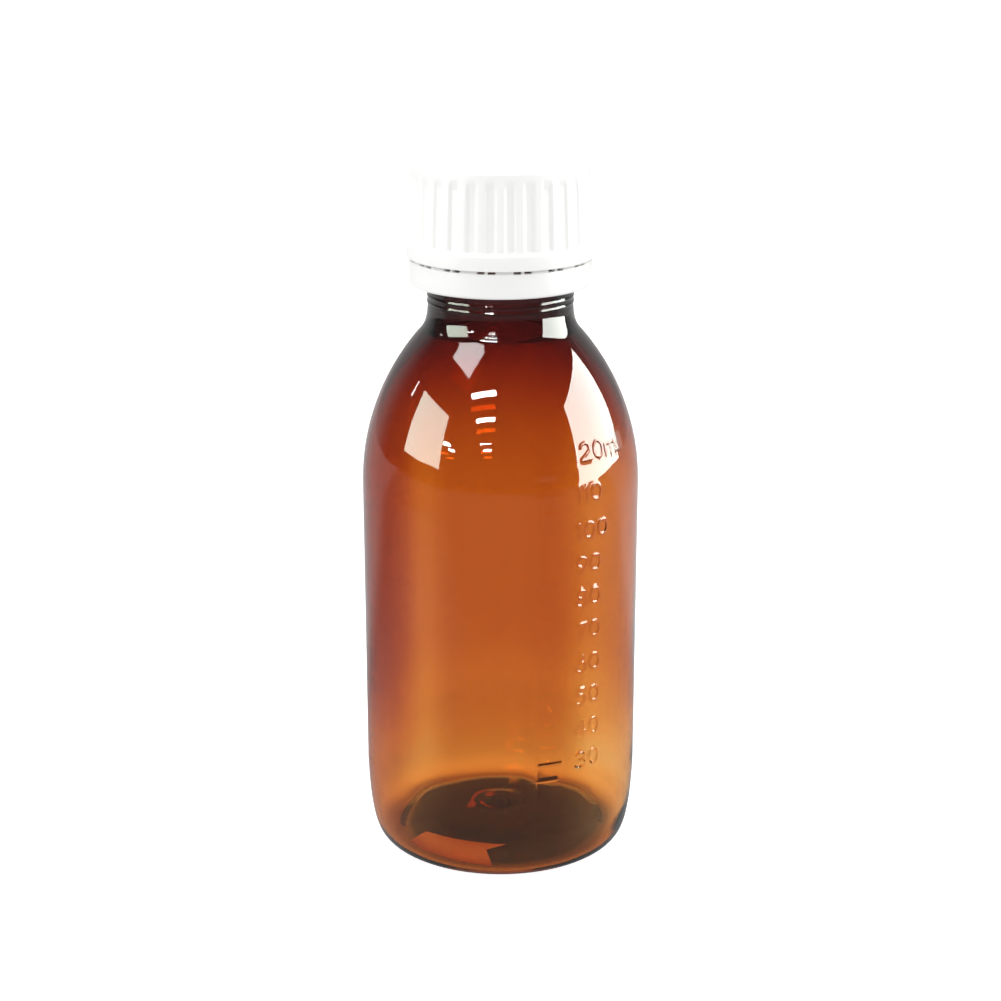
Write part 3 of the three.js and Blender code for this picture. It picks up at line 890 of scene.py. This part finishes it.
# The table as gloss sees it: an even level, a brighter back, and pools as (x, y, radius, extra).
GLOW_LEVEL = 0.33
GLOW_BACK = (0.05, 0.1, 0.3)  # from, to, and how much brighter
GLOW_POOLS = (
    (0.16, 0.09, 0.17, 0.2),
    (-0.14, -0.06, 0.11, 0.4),
    (0.07, 0.01, 0.07, 0.04),
    (-0.07, 0.01, 0.07, 0.15),
)

# The room as gloss sees it: a dim front and sides, and a brighter back.
ROOM_LEVEL = 0.13
ROOM_BACK = (0.35, 0.75, 0.35)  # from, to, and how much brighter

# Windows: azimuth of the plane, left and right side, lower and upper edge, radiance, tint.
WINDOWS = (
    ("left_window", -70.0, -89.5, -51.5, 3.5, 29.0, 10.4, (0.88, 1.0, 0.85)),
    ("right_window", 98.0, 67.6, 119.0, -8.0, 32.0, 14.0, (0.94, 1.0, 0.93)),
)

# Small lamps that show as highlights: azimuth, elevation, degrees wide, degrees high, radiance, roll.
TUBES = (
    ("skylight", -62.0, 58.0, 24.0, 17.0, 9.0, 0.0),
    ("tube_high", -20.0, 43.9, 21.0, 3.0, 60.0, 13.0),
    ("tube_low", -15.0, 31.2, 16.5, 2.2, 60.0, 9.0),
    ("tube_far", -13.0, 19.7, 9.5, 1.3, 45.0, 6.0),
    ("tube_farther", -11.5, 16.8, 7.0, 1.3, 45.0, 6.0),
    ("tube_side", -47.5, 15.5, 7.0, 1.3, 45.0, 0.0),
    ("tube_side_low", -42.5, 13.5, 5.5, 1.1, 45.0, 0.0),
    ("door_gap", -102.0, 22.5, 1.5, 6.0, 15.0, 0.0),
)

# Soft lamps that shade the matt white parts: azimuth, elevation, degrees wide, degrees high, radiance.
SOFT_LAMPS = (
    ("overhead", 180, 82, 45, 36, 3.3),
    ("left_fill", -85, 20, 60, 40, 1.0),
    ("right_fill", 85, 20, 60, 40, 1.0),
)


def make_camera():
    """The camera at the photograph's viewing angle."""
    data = bpy.data.cameras.new("camera")
    data.lens = CAMERA_LENS
    data.sensor_width = CAMERA_SENSOR
    data.clip_start = 0.01
    camera = bpy.data.objects.new("camera", data)
    camera.location = CAMERA_PLACE
    camera.rotation_euler = (math.pi / 2 - CAMERA_PITCH, 0.0, 0.0)
    bpy.context.scene.collection.objects.link(camera)
    bpy.context.scene.camera = camera


def add_lamp(name, place, facing, width, height, radiance, shades, tint=PURE_WHITE[:3]):
    """A rectangular lamp. One that shades lights matt surfaces only; the others show as highlights."""
    data = bpy.data.lights.new(name, "AREA")
    data.shape = "RECTANGLE"
    data.size = width
    data.size_y = height
    data.energy = radiance * math.pi * width * height
    data.color = tint
    lamp = bpy.data.objects.new(name, data)
    lamp.location = place
    lamp.rotation_euler = facing.to_euler()
    lamp.visible_camera = False
    lamp.visible_diffuse = shades
    lamp.visible_glossy = not shades
    lamp.visible_transmission = not shades
    bpy.context.scene.collection.objects.link(lamp)
    return lamp


def softbox(name, azimuth, elevation, wide, high, radiance, roll=0.0, shades=False):
    """A lamp square to the bottle; its direction, its size and its roll are angles in degrees."""
    width, height = (2 * LAMP_DISTANCE * math.tan(math.radians(angle / 2)) for angle in (wide, high))
    turn, lift = math.radians(azimuth), math.radians(elevation)
    direction = Vector((math.sin(turn) * math.cos(lift), -math.cos(turn) * math.cos(lift), math.sin(lift)))
    facing = direction.to_track_quat("Z", "Y") @ Quaternion((0.0, 0.0, 1.0), math.radians(roll))
    place = Vector(LAMP_TARGET) + direction * LAMP_DISTANCE
    add_lamp(name, place, facing, width, height, radiance, shades)


def window(name, azimuth, left, right, bottom, top, radiance, tint):
    """An upright lamp that shows only as a highlight, not through the clear bottle.

    Its plane faces azimuth, its sides are at azimuths and its edges at elevations.
    """
    turn = math.radians(azimuth)
    normal = Vector((math.sin(turn), -math.cos(turn), 0.0))
    across = Vector((-normal.y, normal.x, 0.0))
    x0, x1 = (LAMP_DISTANCE * math.tan(math.radians(side - azimuth)) for side in (left, right))
    z0, z1 = (LAMP_DISTANCE * math.tan(math.radians(edge)) for edge in (bottom, top))
    up = Vector((0.0, 0.0, 1.0))
    middle = normal * LAMP_DISTANCE + across * ((x0 + x1) / 2) + up * ((z0 + z1) / 2)
    facing = normal.to_track_quat("Z", "Y")
    lamp = add_lamp(name, Vector(LAMP_TARGET) + middle, facing, x1 - x0, z1 - z0, radiance, False, tint)
    lamp.visible_transmission = False


def disc(radius, centre):
    """Corners of a disc that is centred on a place along X."""
    turns = np.linspace(0.0, 2 * math.pi, 128, endpoint=False)
    return [(centre + radius * math.cos(turn), radius * math.sin(turn)) for turn in turns]


def flat_surface(name, corners, height, material):
    """A level stage surface with the given corners."""
    mesh = bpy.data.meshes.new(name)
    mesh.from_pydata([(x, y, height) for x, y in corners], [], [tuple(range(len(corners)))])
    mesh.materials.append(material)
    surface = bpy.data.objects.new(name, mesh)
    bpy.context.scene.collection.objects.link(surface)
    return surface


def eased(tree, value, low, high, amount):
    """0 below low, amount above high and a smooth rise between them."""
    node = tree.nodes.new("ShaderNodeMapRange")
    node.interpolation_type = "SMOOTHSTEP"
    node.inputs["From Min"].default_value = low
    node.inputs["From Max"].default_value = high
    node.inputs["To Max"].default_value = amount
    tree.links.new(value, node.inputs["Value"])
    return node.outputs["Result"]


def plus(tree, first, second):
    """Sum of an output and of another output or a number."""
    node = tree.nodes.new("ShaderNodeMath")
    tree.links.new(first, node.inputs[0])
    if isinstance(second, float):
        node.inputs[1].default_value = second
    else:
        tree.links.new(second, node.inputs[1])
    return node.outputs["Value"]


def distance_from(tree, x, y):
    """Distance from a place on the stage, in the stage's own coordinates."""
    coordinates = tree.nodes.new("ShaderNodeTexCoord")
    distance = tree.nodes.new("ShaderNodeVectorMath")
    distance.operation = "DISTANCE"
    distance.inputs[1].default_value = (x, y, 0.0)
    tree.links.new(coordinates.outputs["Object"], distance.inputs[0])
    return distance.outputs["Value"]


def towards_back(tree, output):
    """The Y part of the stage's own coordinates."""
    coordinates = tree.nodes.new("ShaderNodeTexCoord")
    parts = tree.nodes.new("ShaderNodeSeparateXYZ")
    tree.links.new(coordinates.outputs[output], parts.inputs["Vector"])
    return parts.outputs["Y"]


def light_pool(tree, x, y, radius, amount):
    """A round pool of light that fades to nothing at its radius."""
    fade = tree.nodes.new("ShaderNodeMapRange")
    fade.inputs["From Max"].default_value = radius
    fade.inputs["To Min"].default_value = amount
    fade.inputs["To Max"].default_value = 0.0
    tree.links.new(distance_from(tree, x, y), fade.inputs["Value"])
    return fade.outputs["Result"]


def table_glow():
    """The table as the bottle's gloss sees it: pale, with soft pools of window light."""
    material, tree, emission = light_material("table_glow")
    total = plus(tree, eased(tree, towards_back(tree, "Object"), *GLOW_BACK), GLOW_LEVEL)
    for pool in GLOW_POOLS:
        total = plus(tree, total, light_pool(tree, *pool))
    tree.links.new(total, emission.inputs["Strength"])
    return material


def make_table():
    """A wide white floor for the eye, a table top for reflections, and the sunlight under the base."""
    floor = flat_surface("floor", disc(FLOOR_RADIUS, 0.0), -FLOOR_GAP, floor_white())
    floor.visible_glossy = False
    floor.visible_diffuse = False
    table = flat_surface("table", disc(TABLE_RADIUS, TABLE_SHIFT), -2 * FLOOR_GAP, table_glow())
    table.visible_camera = False
    table.visible_diffuse = False
    table.visible_transmission = False
    table.visible_shadow = False
    for level, corners in SUN_PATCHES:
        outline = [(x * MM, y * MM) for x, y in corners]
        patch = flat_surface("sun_patch", outline, FLOOR_GAP, sunlight(level))
        patch.visible_camera = False
        patch.visible_diffuse = False
        patch.visible_glossy = False
        patch.visible_shadow = False


def add_background(tree, strength=None):
    """A white background of a fixed strength, or of one that is linked later."""
    background = tree.nodes.new("ShaderNodeBackground")
    background.inputs["Color"].default_value = PURE_WHITE
    if strength is not None:
        background.inputs["Strength"].default_value = strength
    return background


def make_world():
    """Bright white to the eye, softer white for matt surfaces and a dim room for reflections."""
    world = bpy.data.worlds.new("studio")
    world.use_nodes = True
    bpy.context.scene.world = world
    tree = world.node_tree
    path = tree.nodes.new("ShaderNodeLightPath")
    backdrop = tree.nodes["Background"]
    backdrop.inputs["Color"].default_value = PURE_WHITE
    backdrop.inputs["Strength"].default_value = BACKDROP_LEVEL
    fill = add_background(tree, FILL_LEVEL)
    room = add_background(tree)
    back = eased(tree, towards_back(tree, "Generated"), *ROOM_BACK)
    tree.links.new(plus(tree, back, ROOM_LEVEL), room.inputs["Strength"])
    light = backdrop.outputs["Background"]
    for ray, background in (("Diffuse Depth", fill), ("Is Glossy Ray", room)):
        mix = tree.nodes.new("ShaderNodeMixShader")
        tree.links.new(path.outputs[ray], mix.inputs["Fac"])
        tree.links.new(light, mix.inputs[1])
        tree.links.new(background.outputs["Background"], mix.inputs[2])
        light = mix.outputs["Shader"]
    tree.links.new(light, tree.nodes["World Output"].inputs["Surface"])


def make_lights():
    """All lamps: windows and small lamps as highlights, soft lamps as shading."""
    for values in WINDOWS:
        window(*values)
    for values in TUBES:
        softbox(*values)
    for values in SOFT_LAMPS:
        softbox(*values, shades=True)


# ---------------------------------------------------------------- assembly

def finish_piece(piece, body, node, material):
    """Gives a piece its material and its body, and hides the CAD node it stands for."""
    piece.data.materials.append(material)
    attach(piece, body)
    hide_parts(node)


make_camera()
white = white_plastic()
finish_piece(make_bottle(), "bottle", "bottle", amber_plastic())
finish_piece(make_liner(), "liner", "liner", liner_foam())
finish_piece(make_cap(), "cap", "screw_cap", white)
finish_piece(make_band(), "band", "tamper_band", white)
make_table()
make_world()
make_lights()
bpy.context.scene.view_settings.view_transform = "Standard"
